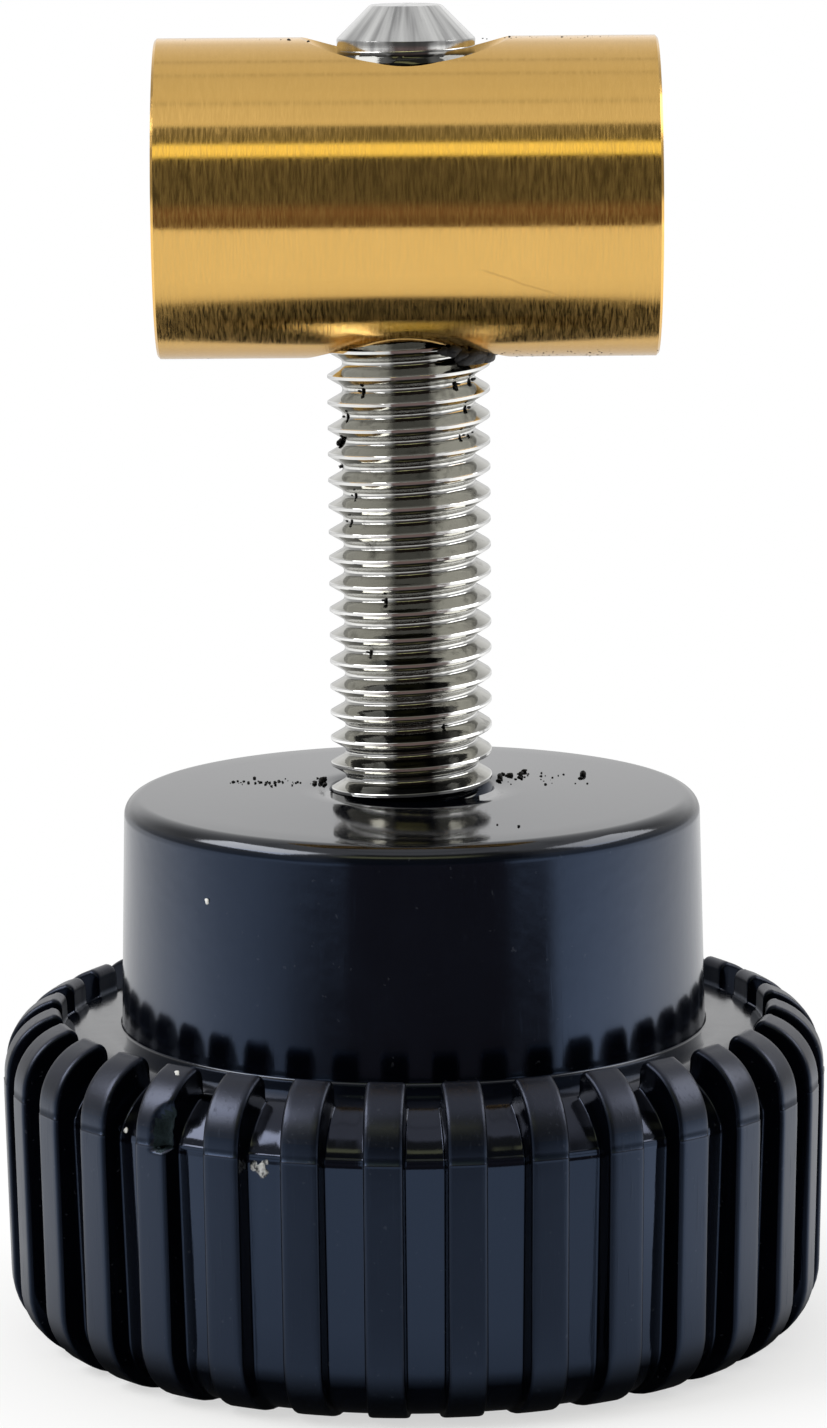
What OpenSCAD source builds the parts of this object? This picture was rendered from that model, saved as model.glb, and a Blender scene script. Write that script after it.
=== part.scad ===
// Pump lid knob: ribbed moulded knob, threaded stud and brass barrel nut.
// Millimetres. The crown rests on z = 0, the stud points along +Z, the nut lies along X.

/* [Grip] */
// Diameter over the grip ribs
grip_d = 39.9; // [34:0.1:60]
// Radius lost by the grip from the parting line down to the crown
grip_draft = 0.2; // [0:0.05:0.5]
// Height of the shoulder above the crown
shoulder_z = 15.15; // [12:0.05:24]
// Number of ribs around the grip
rib_count = 32; // [16:4:40]
// Width of one rib
rib_w = 1.85; // [1.2:0.05:2.4]
// How far a rib stands out of the grip wall
rib_depth = 1.8; // [1:0.05:2.4]
// How far the rib tops stand above the shoulder
rib_rise = 1.1; // [0.6:0.05:1.6]
// Radial length of a rib at its top
rib_len = 2.85; // [2.4:0.05:3.2]
// Round of the ribs at the top
rib_round_top = 3.2; // [2.8:0.05:3.5]
// Round of a rib's inner end
rib_nose = 0.45; // [0.3:0.05:0.6]
// Round of the ribs at the crown
rib_round_crown = 3.35; // [2.4:0.05:4]
// Round of the grip wall at the shoulder
wall_round_top = 2.85; // [1:0.05:3.4]
// Round of the grip wall at the crown
wall_round_crown = 2.2; // [1:0.05:2.4]
// Width of the chip broken out of one rib
chip_w = 0.85; // [0.4:0.05:1]
// Depth of the chip along the rib's side
chip_d = 0.62; // [0.3:0.02:0.9]

/* [Hub] */
// Diameter of the hub where it meets the shoulder
hub_base_d = 28.3; // [22:0.1:30]
// Diameter of the hub at its clamping face
hub_top_d = 27.8; // [21:0.1:29]
// Height of the hub's rim above the shoulder
hub_h = 11.15; // [6:0.05:20]
// Round of the hub's rim
hub_edge = 0.87; // [0.3:0.01:1.5]
// Rise of the clamping face from its rim to the stud
hub_rise = 0.3; // [0.1:0.05:1]

/* [Stud] */
// Length of the stud above the clamping face
stud_len = 37.55; // [30:0.05:60]
// Major diameter of the thread
thread_d = 7.78; // [7.7:0.01:7.98]
// Pitch of the thread
thread_pitch = 1.25; // [1:0.05:1.5]
// Diameter of the flat at the stud's tip
tip_d = 3.4; // [2:0.05:5]
// Diameter of the plain neck under the tip's cone
neck_d = 6.56; // [6.4:0.02:6.8]
// Length over which the thread runs out into the neck
runout = 1.2; // [0.6:0.05:1.8]
// Width across the flats of the stud's moulded-in head
head_af = 13; // [11:0.1:14]
// Height of the stud's moulded-in head
head_h = 5.3; // [4:0.1:7]
// Depth of the head's underside below the shoulder
head_down = 8.5; // [7.5:0.1:11]

/* [Barrel nut] */
// Diameter of the barrel nut
nut_d = 15.2; // [13:0.1:18]
// Length of the barrel nut
nut_len = 23.8; // [18:0.1:32]
// Depth of the nut's axis below the stud's tip
nut_down = 9.1; // [9.1:0.05:24]
// Chamfer on the nut's end edges
nut_chamfer = 0.12; // [0.06:0.02:0.8]
// Radial clearance of the nut on the thread
nut_clear = 0.08; // [0.02:0.01:0.1]
// Diameter of the countersinks of the nut's hole, across the top of the barrel
mouth_d = 10; // [8.6:0.1:11]

/* [Hidden] */
$fn = 96;

// Grip derived from the sizes above
grip_r = grip_d / 2;
foot_r = grip_r - grip_draft;
rib_top_z = shoulder_z + rib_rise;
rib_end_r = grip_r - rib_len;
rib_step = 360 / rib_count;
// The rib nearest the front lies a little to its left
rib_start = -94.2;
wall_r = grip_r - rib_depth;
wall_foot_r = foot_r - rib_depth;
// The ribs are sunk into the body by this much
rib_sink = 0.6;
rib_root_r = wall_foot_r - wall_round_crown - rib_sink;
rib_mid_r = grip_r - rib_round_top;
rib_mid_z = rib_top_z - rib_round_top;
nose_r = rib_end_r + rib_nose;
nose_z = rib_mid_z + sqrt(pow(rib_round_top - rib_nose, 2) - pow(nose_r - rib_mid_r, 2));
nose_angle = atan2(nose_z - rib_mid_z, nose_r - rib_mid_r);
// The chipped rib is the third one to the left of the front rib
chip_angle = rib_start - 3 * rib_step;
// The break starts a little below the ribs' round and leans inwards
chip_drop = 0.55;
chip_z = rib_mid_z - chip_drop;
chip_lean = 10;
chip_h = 4;

// Hub derived from the sizes above
hub_z = shoulder_z + hub_h;
face_z = hub_z + hub_rise;
hub_r = hub_top_d / 2;

// Stud derived from the sizes above
thread_r = thread_d / 2;
thread_h = 0.577 * thread_pitch;
root_r = thread_r - thread_h;
// The plain shank is a little thicker than the thread and ends just under the clamping face
shank_over = 0.06;
shank_under = 0.05;
shank_r = thread_r + shank_over;
shank_top_z = face_z - shank_under;
head_z = shoulder_z - head_down;
tip_z = face_z + stud_len;
seg = 24;
// The thread starts inside the shank
thread_sink = 2.06;
thread_z = face_z - thread_sink;
root_flat = 0.21 * thread_pitch;
flank = thread_h * tan(30);
crest_flat = thread_pitch - root_flat - 2 * flank;
neck_r = neck_d / 2;
cone_h = neck_r - tip_d / 2;
neck_z = tip_z - cone_h;
// Whole turns of thread reach up to the neck, which overlaps the last of them
neck_min = 0.3;
neck_lap = 0.8;
turns = floor((neck_z - neck_min - thread_z) / thread_pitch);
cols = turns * seg;
thread_top_z = thread_z + thread_pitch * turns;
neck_low_z = thread_top_z - neck_lap;
// The crest is gone a little before the last turn ends, and stays just under the neck there
runout_z = thread_top_z - 0.15;
neck_over = 0.03;

// Nut derived from the sizes above
nut_z = tip_z - nut_down;
nut_r = nut_d / 2;
bore_r = thread_r + nut_clear;
mouth_h = mouth_d / 2 - bore_r;

// Points of an arc around [x, y] from angle a to angle b
function arc(x, y, r, a, b, n) = [
    for (i = [0 : n])
        [x + r * cos(a + (b - a) * i / n), y + r * sin(a + (b - a) * i / n)]
];

// Outline of the turned body: crown, grip wall, shoulder, hub and clamping face
body_outline = concat(
    [[0, 0]],
    arc(wall_foot_r - wall_round_crown, wall_round_crown, wall_round_crown, -90, 0, 6),
    arc(wall_r - wall_round_top, shoulder_z - wall_round_top, wall_round_top, 0, 90, 8),
    [[hub_base_d / 2, shoulder_z]],
    arc(hub_r - hub_edge, hub_z - hub_edge, hub_edge, 0, 90, 6),
    [[shank_r, face_z], [0, face_z]]
);

// Outline of one rib: from the crown up the grip, over the shoulder's edge to its inner end
rib_outline = concat(
    [[rib_root_r, 0]],
    arc(foot_r - rib_round_crown, rib_round_crown, rib_round_crown, -90, 0, 7),
    arc(rib_mid_r, rib_mid_z, rib_round_top, 0, nose_angle, 7),
    arc(nose_r, nose_z, rib_nose, nose_angle + 20, 180, 4),
    [
        [rib_end_r - 0.05, shoulder_z - wall_round_top],
        [rib_root_r, shoulder_z - wall_round_top]
    ]
);

module rib(angle) {
    intersection() {
        rotate([0, 0, angle])
            rotate_extrude()
                polygon(rib_outline);
        rotate([0, 0, angle])
            translate([rib_root_r - 1, -rib_w / 2, -1])
                cube([grip_r, rib_w, rib_top_z + 2]);
    }
}

// Chip broken out of one edge of a rib: the break runs from the rib's face to its side and leans inwards
module chip() {
    rotate([0, 0, chip_angle])
        translate([grip_r, rib_w / 2 - chip_w, chip_z])
            rotate([0, -chip_lean, atan2(chip_d, chip_w)])
                translate([0, -chip_w, 0])
                    cube([1.5 * chip_w, 3 * chip_w, chip_h]);
}

// Room that the stud's head and shank take up in the moulding
module stud_pocket() {
    translate([0, 0, head_z])
        cylinder(d = head_af / cos(30), h = head_h, $fn = 6);
    translate([0, 0, head_z])
        cylinder(r = shank_r, h = face_z - head_z + 1);
}

module knob() {
    color([0.05, 0.05, 0.065])
        difference() {
            union() {
                rotate_extrude()
                    polygon(body_outline);
                for (i = [0 : rib_count - 1])
                    rib(rib_start + i * rib_step);
            }
            stud_pocket();
            chip();
        }
}

// Radius left to the thread where it runs out into the neck
function run_out(z) = neck_r - neck_over + max(0, runout_z - z) * thread_h / runout;

// Height and radius of the thread's four corners within one pitch
function corner_z(j) = [0, root_flat, root_flat + flank, root_flat + flank + crest_flat][j];
function corner_r(j) = j < 2 ? root_r : thread_r;

// Point of column k and corner j
function thread_point(k, j) =
    let (z = thread_z + thread_pitch * k / seg + corner_z(j))
    let (r = min(corner_r(j), run_out(z)))
    let (a = 180 + 360 * k / seg)
    [r * cos(a), r * sin(a), z];

// Number of the point of column k and corner j, where corner 4 belongs to the next turn
function at(k, j) = j == 4 ? (k + seg) * 4 : k * 4 + j;

// Right-hand thread of 60 degrees as one closed helical skin
module thread() {
    last = cols - seg;
    count = (cols + 1) * 4;
    points = concat(
        [for (k = [0 : cols]) for (j = [0 : 3]) thread_point(k, j)],
        [[0, 0, thread_z - 0.3], [0, 0, thread_top_z + 0.2]]
    );
    skin = [
        for (k = [0 : last - 1]) for (j = [0 : 3]) for (t = [0 : 1])
            t == 0
                ? [at(k, j), at(k + 1, j + 1), at(k + 1, j)]
                : [at(k, j), at(k, j + 1), at(k + 1, j + 1)]
    ];
    floor_fan = [for (k = [0 : seg - 1]) [count, at(k, 0), at(k + 1, 0)]];
    floor_step = [for (j = [0 : 3]) [count, at(0, j + 1), at(0, j)]];
    roof_fan = [for (k = [last : cols - 1]) [count + 1, at(k + 1, 0), at(k, 0)]];
    roof_step = [for (j = [0 : 3]) [count + 1, at(last, j), at(last, j + 1)]];
    polyhedron(points, concat(skin, floor_fan, floor_step, roof_fan, roof_step));
}

module threaded_stud() {
    color([0.74, 0.74, 0.73])
        union() {
            translate([0, 0, head_z])
                cylinder(d = head_af / cos(30), h = head_h, $fn = 6);
            translate([0, 0, head_z])
                cylinder(r = shank_r, h = shank_top_z - head_z);
            thread();
            translate([0, 0, neck_low_z])
                cylinder(r = neck_r, h = neck_z - neck_low_z);
            translate([0, 0, neck_z])
                cylinder(r1 = neck_r, r2 = tip_d / 2, h = cone_h);
        }
}

// Half outline of the nut's turned barrel, along its axis
nut_outline = [
    [0, -nut_len / 2],
    [nut_r - nut_chamfer, -nut_len / 2],
    [nut_r, nut_chamfer - nut_len / 2],
    [nut_r, nut_len / 2 - nut_chamfer],
    [nut_r - nut_chamfer, nut_len / 2],
    [0, nut_len / 2]
];

module barrel_nut() {
    color([0.79, 0.62, 0.31])
        translate([0, 0, nut_z])
            difference() {
                rotate([0, 90, 0])
                    rotate_extrude()
                        polygon(nut_outline);
                translate([0, 0, -nut_d])
                    cylinder(r = bore_r, h = 2 * nut_d);
                for (side = [0, 180])
                    rotate([side, 0, 0])
                        translate([0, 0, nut_r - mouth_h])
                            cylinder(r1 = bore_r, r2 = bore_r + 2 * mouth_h, h = 2 * mouth_h);
            }
}

knob();
threaded_stud();
barrel_nut();
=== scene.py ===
"""Pump lid knob: a ribbed knob, a bright threaded stud and a turned brass barrel nut, in a pale studio."""
import math
import random

import bmesh
import bpy
import numpy as np
from mathutils import Matrix, Vector


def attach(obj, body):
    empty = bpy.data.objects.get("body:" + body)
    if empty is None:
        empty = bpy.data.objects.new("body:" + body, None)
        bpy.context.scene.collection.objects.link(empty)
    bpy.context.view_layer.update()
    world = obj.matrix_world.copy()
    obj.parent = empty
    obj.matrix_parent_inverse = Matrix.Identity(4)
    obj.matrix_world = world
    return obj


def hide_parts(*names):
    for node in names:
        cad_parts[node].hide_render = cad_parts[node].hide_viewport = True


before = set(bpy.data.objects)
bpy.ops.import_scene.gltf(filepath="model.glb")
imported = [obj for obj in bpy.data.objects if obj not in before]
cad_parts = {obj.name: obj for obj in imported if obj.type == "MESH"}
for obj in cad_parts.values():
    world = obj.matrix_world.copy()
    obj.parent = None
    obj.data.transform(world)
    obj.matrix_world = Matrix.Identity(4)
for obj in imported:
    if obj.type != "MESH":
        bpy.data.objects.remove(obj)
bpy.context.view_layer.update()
MM = 0.001

# Sizes in millimetres, the same values as the solids have, apart from the shallower wall between the ribs
GRIP_R, FOOT_R = 19.93, 19.74
WALL_R, WALL_FOOT_R = 18.93, 18.55
SHOULDER_Z = 15.15
WALL_TOP, WALL_CROWN = 2.75, 2.8
RIBS, RIB_W, RIB_START = 32, 1.85, -94.2
RIB_END_R, RIB_TOP, RIB_NOSE, RIB_CROWN = 17.1, 3.2, 0.45, 3.35
RIB_MID_Z = 13.03
PART_Z = 12.75
# The chipped rib is the third to the left of the front one
CHIP_RIB, CHIP_Z, CHIP_W, CHIP_D = 29, 12.5, 0.85, 0.62
HUB_BASE_R, HUB_R, HUB_EDGE, HUB_Z = 14.15, 13.9, 0.87, 26.3
FACE_Z = 26.6
HOLE_R = 3.95
PITCH, THREAD_R, ROOT_R = 1.25, 3.885, 3.17
TIP_Z, TIP_R, NECK_R, NECK_Z, RUNOUT_Z = 64.15, 1.7, 3.28, 62.57, 61.89
NUT_Z, NUT_R, NUT_HALF, NUT_CHAMFER, BORE_R, MOUTH_R = 55.05, 7.59, 11.89, 0.12, 3.97, 5.0

# Small forms that only the scene has, in millimetres
# The wall's round at the shoulder: radius, first and last angle, number of steps
WALL_ARCS = ((1.75, 0, 28, 40), (4.4, 28, 60, 60), (2.6, 60, 90, 30))
# Above the parting line the mould stands back by this much, and a rib's end dips this far into the wall
MOULD_STEP, END_DIP = 0.03, 0.04
HUB_FILLET = 0.12
HOLE_DEPTH = 1.0
# Height at which the thread's helix starts on the left side
THREAD_START = FACE_Z - 2.06
DENT_REACH = 0.5
NUT_DISH = 0.02

# Where a material changes: radius or height in millimetres, from and to
GRIP_EDGE, PART_EDGE, FACE_EDGE = (16.2, 16.8), (12.6, 12.9), (25.9, 26.25)
CREST_EDGE, COLLAR_EDGE, TIP_EDGE = (3.74, 3.84), (60.2, 60.8), (61.95, 62.2)

# The stud's mesh: points around it, the seam's direction at the back, and where rows close up on the neck
STUD_SEG = 90
SEAM = math.pi / 2
CLOSE_Z, CLOSE_SHARE = 62.0, 0.4
# The other meshes: rows and columns of points, a sharp edge's angle, metres within which points merge
NUT_ROWS, NUT_SIDE, NUT_END = 26, 64, 44
LUMP_ROWS, LUMP_COLS = 7, 12
SHARP_ANGLE = math.radians(24)
MERGE_DISTANCE = 1e-7

# The camera and the lamps' aim, in metres, millimetres of film and radians
CAMERA_AT = (0.00011, -0.280, 0.0785)
LENS, SENSOR = 148.6, 36.0
CAMERA_DOWN, CAMERA_ROLL = 0.171, math.radians(-0.45)
LAMP_AIM = Vector((0, 0, 0.03))


# Mesh helpers

def link(name, data):
    """A new object in the scene."""
    obj = bpy.data.objects.new(name, data)
    bpy.context.scene.collection.objects.link(obj)
    return obj


def make_object(name, points, faces, material, body):
    """A mesh object from points in millimetres, riding on a body."""
    mesh = bpy.data.meshes.new(name)
    mesh.from_pydata([tuple(p) for p in np.asarray(points, float) * MM], [], faces)
    mesh.validate()
    mesh.materials.append(material)
    mesh.polygons.foreach_set("use_smooth", [True] * len(mesh.polygons))
    obj = link(name, mesh)
    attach(obj, body)
    return obj


def arc(x, z, r, a, b, n):
    """Points of an arc around (x, z) from angle a to angle b, in degrees."""
    t = np.radians(np.linspace(a, b, n + 1))
    return np.stack([x + r * np.cos(t), z + r * np.sin(t)], 1)


def line(a, b, n):
    """Points from a to b without a itself."""
    t = np.linspace(0, 1, n + 1)[1:, None]
    return np.asarray(a) * (1 - t) + np.asarray(b) * t


def polar(r, degrees, z):
    """Point at a radius, a direction and a height."""
    a = math.radians(degrees)
    return r * math.cos(a), r * math.sin(a), z


def band(a, b):
    """Quads between two rings of point numbers."""
    n = len(a)
    return [(a[i], a[(i + 1) % n], b[(i + 1) % n], b[i]) for i in range(n)]


def fan(ring, tip):
    """Triangles from a ring of point numbers to one point."""
    n = len(ring)
    return [(ring[i], ring[(i + 1) % n], tip) for i in range(n)]


def ring_faces(rows, cols):
    """Quads between rows of points that close on themselves."""
    rings = [range(r * cols, (r + 1) * cols) for r in range(rows)]
    return [face for a, b in zip(rings, rings[1:]) for face in band(a, b)]


# Node helpers

def grey(v):
    return (v, v, v, 1.0)


class Tree:
    """Adds nodes to a node tree with their values and links in one call."""

    def __init__(self, tree):
        self.tree = tree
        tree.nodes.clear()

    def add(self, kind, inputs=None, **props):
        node = self.tree.nodes.new("ShaderNode" + kind)
        for key, value in props.items():
            setattr(node, key, value)
        for key, value in (inputs or {}).items():
            socket = node.inputs[key]
            if isinstance(value, bpy.types.NodeSocket):
                self.tree.links.new(value, socket)
            else:
                socket.default_value = value
        return node

    def math(self, operation, a, b=0.0):
        return self.add("Math", {0: a, 1: b}, operation=operation).outputs[0]

    def plus(self, a, b):
        return self.math("ADD", a, b)

    def minus(self, a, b):
        return self.math("SUBTRACT", a, b)

    def times(self, a, b):
        return self.math("MULTIPLY", a, b)

    def most(self, a, b):
        return self.math("MAXIMUM", a, b)

    def weighted(self, base, *parts):
        """A base value plus every part times its weight."""
        for value, weight in parts:
            base = self.plus(base, self.times(value, weight))
        return base

    def split(self, vector):
        """The x, y and z of a vector."""
        return list(self.add("SeparateXYZ", {0: vector}).outputs)

    def radius(self, x, y):
        """Distance from the knob's axis."""
        return self.math("SQRT", self.plus(self.math("POWER", x, 2.0), self.math("POWER", y, 2.0)))

    def turn(self, x, y):
        """Direction around the object: 0.5 on the camera's side, more to the right, less to the left."""
        angle = self.math("ARCTAN2", x, self.times(y, -1.0))
        return self.plus(self.times(angle, 0.5 / math.pi), 0.5)

    def fade(self, value, start, end, low=0.0, high=1.0):
        """From low at start to high at end, and level beyond both."""
        return self.add("MapRange", {0: value, 1: start, 2: end, 3: low, 4: high}).outputs[0]

    def fade_mm(self, value, edge, low=0.0, high=1.0):
        """The same between two places in millimetres."""
        return self.fade(value, edge[0] * MM, edge[1] * MM, low, high)

    def mix(self, factor, a, b):
        return self.add("Mix", {0: factor, 6: a, 7: b}, data_type="RGBA").outputs[2]

    def multiplied(self, a, b):
        """Two colours multiplied."""
        inputs = {0: 1.0, 6: a, 7: b}
        return self.add("Mix", inputs, data_type="RGBA", blend_type="MULTIPLY").outputs[2]

    def blend(self, factor, a, b):
        """Two shaders mixed."""
        return self.add("MixShader", {0: factor, 1: a, 2: b}).outputs[0]

    def glow(self, colour):
        return self.add("Emission", {0: colour, 1: 1.0}).outputs[0]

    def ramp(self, value, stops):
        """Colours at places between 0 and 1."""
        node = self.add("ValToRGB", {0: value})
        while len(node.color_ramp.elements) < len(stops):
            node.color_ramp.elements.new(0.5)
        for element, (place, colour) in zip(node.color_ramp.elements, stops):
            element.position = place
            element.color = colour if len(colour) == 4 else (*colour, 1.0)
        return node.outputs[0]

    def greys(self, value, stops):
        """A ramp with a grey at each place."""
        return self.ramp(value, [(place, grey(v)) for place, v in stops])

    def mask(self, value, off, on):
        """Black up to one place, white from the other."""
        return self.greys(value, [(off, 0), (on, 1)])

    def stripe(self, value, off, on, still, away):
        """White between two places, black outside."""
        return self.greys(value, [(off, 0), (on, 1), (still, 1), (away, 0)])

    def noise(self, vector, scale, detail=3.0, roughness=0.55):
        inputs = {"Vector": vector, "Scale": scale, "Detail": detail, "Roughness": roughness}
        return self.add("TexNoise", inputs).outputs[0]

    def brushed(self, vector, scales, detail=3.0, roughness=0.55):
        """Noise with a scale of its own along each axis."""
        stretched = self.add("Mapping", {"Vector": vector, "Scale": scales}).outputs[0]
        return self.noise(stretched, 1.0, detail, roughness)

    def bump(self, height, strength, distance, under=None):
        """Bumps of a height in metres, on top of other bumps."""
        inputs = {"Height": height, "Strength": strength, "Distance": distance}
        if under is not None:
            inputs["Normal"] = under
        return self.add("Bump", inputs).outputs[0]

    def surface(self, shader):
        self.add("OutputMaterial", {"Surface": shader})

    def principled(self, inputs):
        self.surface(self.add("BsdfPrincipled", inputs).outputs[0])


def material(name):
    """A new material, its tree and the object's own coordinates."""
    mat = bpy.data.materials.new(name)
    mat.use_nodes = True
    tree = Tree(mat.node_tree)
    return mat, tree, tree.add("TexCoord").outputs["Object"]


# Materials

def plastic_material():
    """Black moulded plastic of a navy tone: faint orange peel, fine grain, ribs rubbed dull and grey; the
    tint of its shine is painted reflection colour and painted shade.
    """
    navy, filmed = (0.0006, 0.0008, 0.0018, 1), (0.0014, 0.0018, 0.0034, 1)
    scuffed, pitted = (0.008, 0.009, 0.014, 1), (0.03, 0.032, 0.038, 1)
    painted_blue_tint, painted_pale_tint = (0.42, 0.60, 1.0), (0.86, 0.90, 1.0)
    wear_and_shade_tint, painted_flank_shade = (0.52, 0.59, 0.86, 1), (0.10, 0.14, 0.24, 1)
    mat, t, co = material("knob_plastic")
    x, y, z = t.split(co)
    radius = t.radius(x, y)
    normal_x, normal_y, upward = t.split(t.add("NewGeometry").outputs["True Normal"])
    sideways = t.minus(t.times(normal_y, x), t.times(normal_x, y))
    flank = t.math("POWER", t.math("DIVIDE", sideways, radius), 2.0)
    # Places: rubbed tops of the ribs, valleys between them, and the clamping face
    rubbed = t.fade(t.add("Attribute", attribute_name="rib").outputs["Fac"], 0.78, 0.95)
    outer = t.fade_mm(radius, GRIP_EDGE)
    valley = t.times(t.minus(1.0, rubbed), outer)
    face = t.fade_mm(z, FACE_EDGE)
    # Marks: orange peel, grain, scuffs along the ribs, a thin film and small pits
    peel = t.noise(co, 650.0, 2.0)
    grain = t.noise(co, 11000.0)
    scuff = t.mask(t.brushed(co, (7000.0, 7000.0, 420.0)), 0.58, 0.70)
    scuff = t.times(scuff, t.weighted(0.25, (rubbed, 0.75)))
    film = t.mask(t.noise(co, 240.0, 4.0), 0.42, 0.72)
    pit = t.mask(t.noise(co, 3600.0, 1.0), 0.73, 0.78)
    colour = t.mix(film, navy, filmed)
    colour = t.mix(t.times(scuff, 0.20), colour, scuffed)
    colour = t.mix(t.times(pit, 0.5), colour, pitted)
    # The face is glossier than the hub, and so are the valleys, most of all below the parting line
    valley_gloss = t.times(valley, t.fade_mm(z, PART_EDGE, 0.62, 0.15))
    gloss = t.most(t.times(face, 0.58), valley_gloss)
    rough = t.times(t.weighted(0.115, (film, 0.03), (grain, 0.02)), t.minus(1.0, gloss))
    rough = t.weighted(rough, (rubbed, 0.21), (scuff, 0.10))
    # The tint of its shine is painted reflection colour: blue on upright walls, paler on top; dimmer on the
    # upward faces of rubbed rib tops and valleys, partly wear and partly painted shade; painted shade on
    # the ribs' flanks
    painted_reflection_tint = t.ramp(upward, [(0.15, painted_blue_tint), (0.50, painted_pale_tint)])
    # A dimmer shine on upward faces of the rubbed rib tops and of the valleys: partly wear, partly painted
    # shade
    wear_and_shade = t.times(t.most(rubbed, valley), t.greys(upward, [(0.15, 0), (0.50, 0.88)]))
    painted_reflection_tint = t.mix(wear_and_shade, painted_reflection_tint, wear_and_shade_tint)
    # Painted shade on the ribs' side walls, a darker tint of their shine
    painted_reflection_tint = t.mix(t.times(flank, outer), painted_reflection_tint, painted_flank_shade)
    peel_strength = t.minus(0.12, t.times(t.most(face, valley), 0.10))
    bump = t.bump(peel, peel_strength, 0.00006)
    bump = t.bump(grain, 0.06, 0.00001, bump)
    bump = t.bump(scuff, 0.25, 0.00001, bump)
    t.principled({
        "Base Color": colour, "Roughness": rough, "Normal": bump, "IOR": 1.6, "Specular Tint": painted_reflection_tint,
    })
    return mat


def fracture_material():
    """Broken plastic: rough, greenish black, with small bright facets."""
    mat, t, co = material("knob_fracture")
    lump = t.noise(co, 5200.0, 5.0, 0.7)
    t.principled({
        "Base Color": t.ramp(lump, [(0.35, (0.0010, 0.0018, 0.0020)), (0.70, (0.006, 0.010, 0.011))]),
        "Roughness": t.weighted(0.22, (lump, 0.3)), "Normal": t.bump(lump, 0.8, 0.00006),
        "Specular Tint": (0.32, 0.48, 0.58, 1.0),
    })
    return mat


def long_scratch(t, x, z, wobble):
    """One long scratch on the barrel's right half, lower towards the end."""
    slope, height, wander = 0.36, 53.45, 0.6
    away = t.minus(z, t.times(x, -slope))
    away = t.plus(t.minus(away, height * MM), t.times(t.minus(wobble, 0.5), wander * MM))
    width = t.fade_mm(t.math("ABSOLUTE", away), (0.03, 0.07), 1.0, 0.0)
    length = t.times(t.fade_mm(x, (3.2, 3.8)), t.fade_mm(x, (6.4, 7.2), 1.0, 0.0))
    return t.times(width, length)


def brass_material():
    """Turned brass: fine rings around the barrel's axis, tarnish, small dark stains, one long scratch."""
    bright, tarnish = (0.80, 0.49, 0.145, 1), (0.73, 0.445, 0.125, 1)
    ring_brown, stain_brown = (0.58, 0.35, 0.10, 1), (0.30, 0.17, 0.06, 1)
    scratch_brown = (0.42, 0.24, 0.07, 1)
    mat, t, co = material("nut_brass")
    x, _, z = t.split(co)
    rings = t.brushed(co, (9000.0, 300.0, 300.0), 4.0, 0.65)
    strokes = t.brushed(co, (11000.0, 1300.0, 1300.0), 3.0, 0.6)
    broad = t.brushed(co, (2600.0, 60.0, 60.0), 2.0)
    cloud = t.noise(co, 260.0, 5.0, 0.6)
    stain = t.mask(t.noise(co, 900.0, 4.0, 0.7), 0.68, 0.78)
    scratch = long_scratch(t, x, z, cloud)
    # The turning marks are stronger towards the barrel's ends
    ends = t.fade_mm(t.math("ABSOLUTE", x), (2.0, 9.0), 0.70, 1.0)
    grain = t.times(t.mask(strokes, 0.36, 0.68), ends)
    colour = t.mix(cloud, bright, tarnish)
    colour = t.mix(t.times(rings, 0.30), colour, ring_brown)
    colour = t.mix(t.times(stain, 0.25), colour, stain_brown)
    colour = t.mix(t.times(scratch, 0.35), colour, scratch_brown)
    rough = t.weighted(0.065, (rings, 0.07), (broad, 0.04), (grain, 0.12), (stain, 0.08))
    bump = t.bump(rings, 0.40, 0.000016)
    bump = t.bump(broad, 0.08, 0.00004, bump)
    t.principled({
        "Base Color": colour, "Metallic": t.minus(1.0, t.times(grain, 0.14)), "Roughness": rough,
        "Normal": bump, "Anisotropic": 0.85, "Anisotropic Rotation": 0.25,
        "Tangent": t.add("Tangent", direction_type="RADIAL", axis="X").outputs[0],
    })
    return mat


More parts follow.
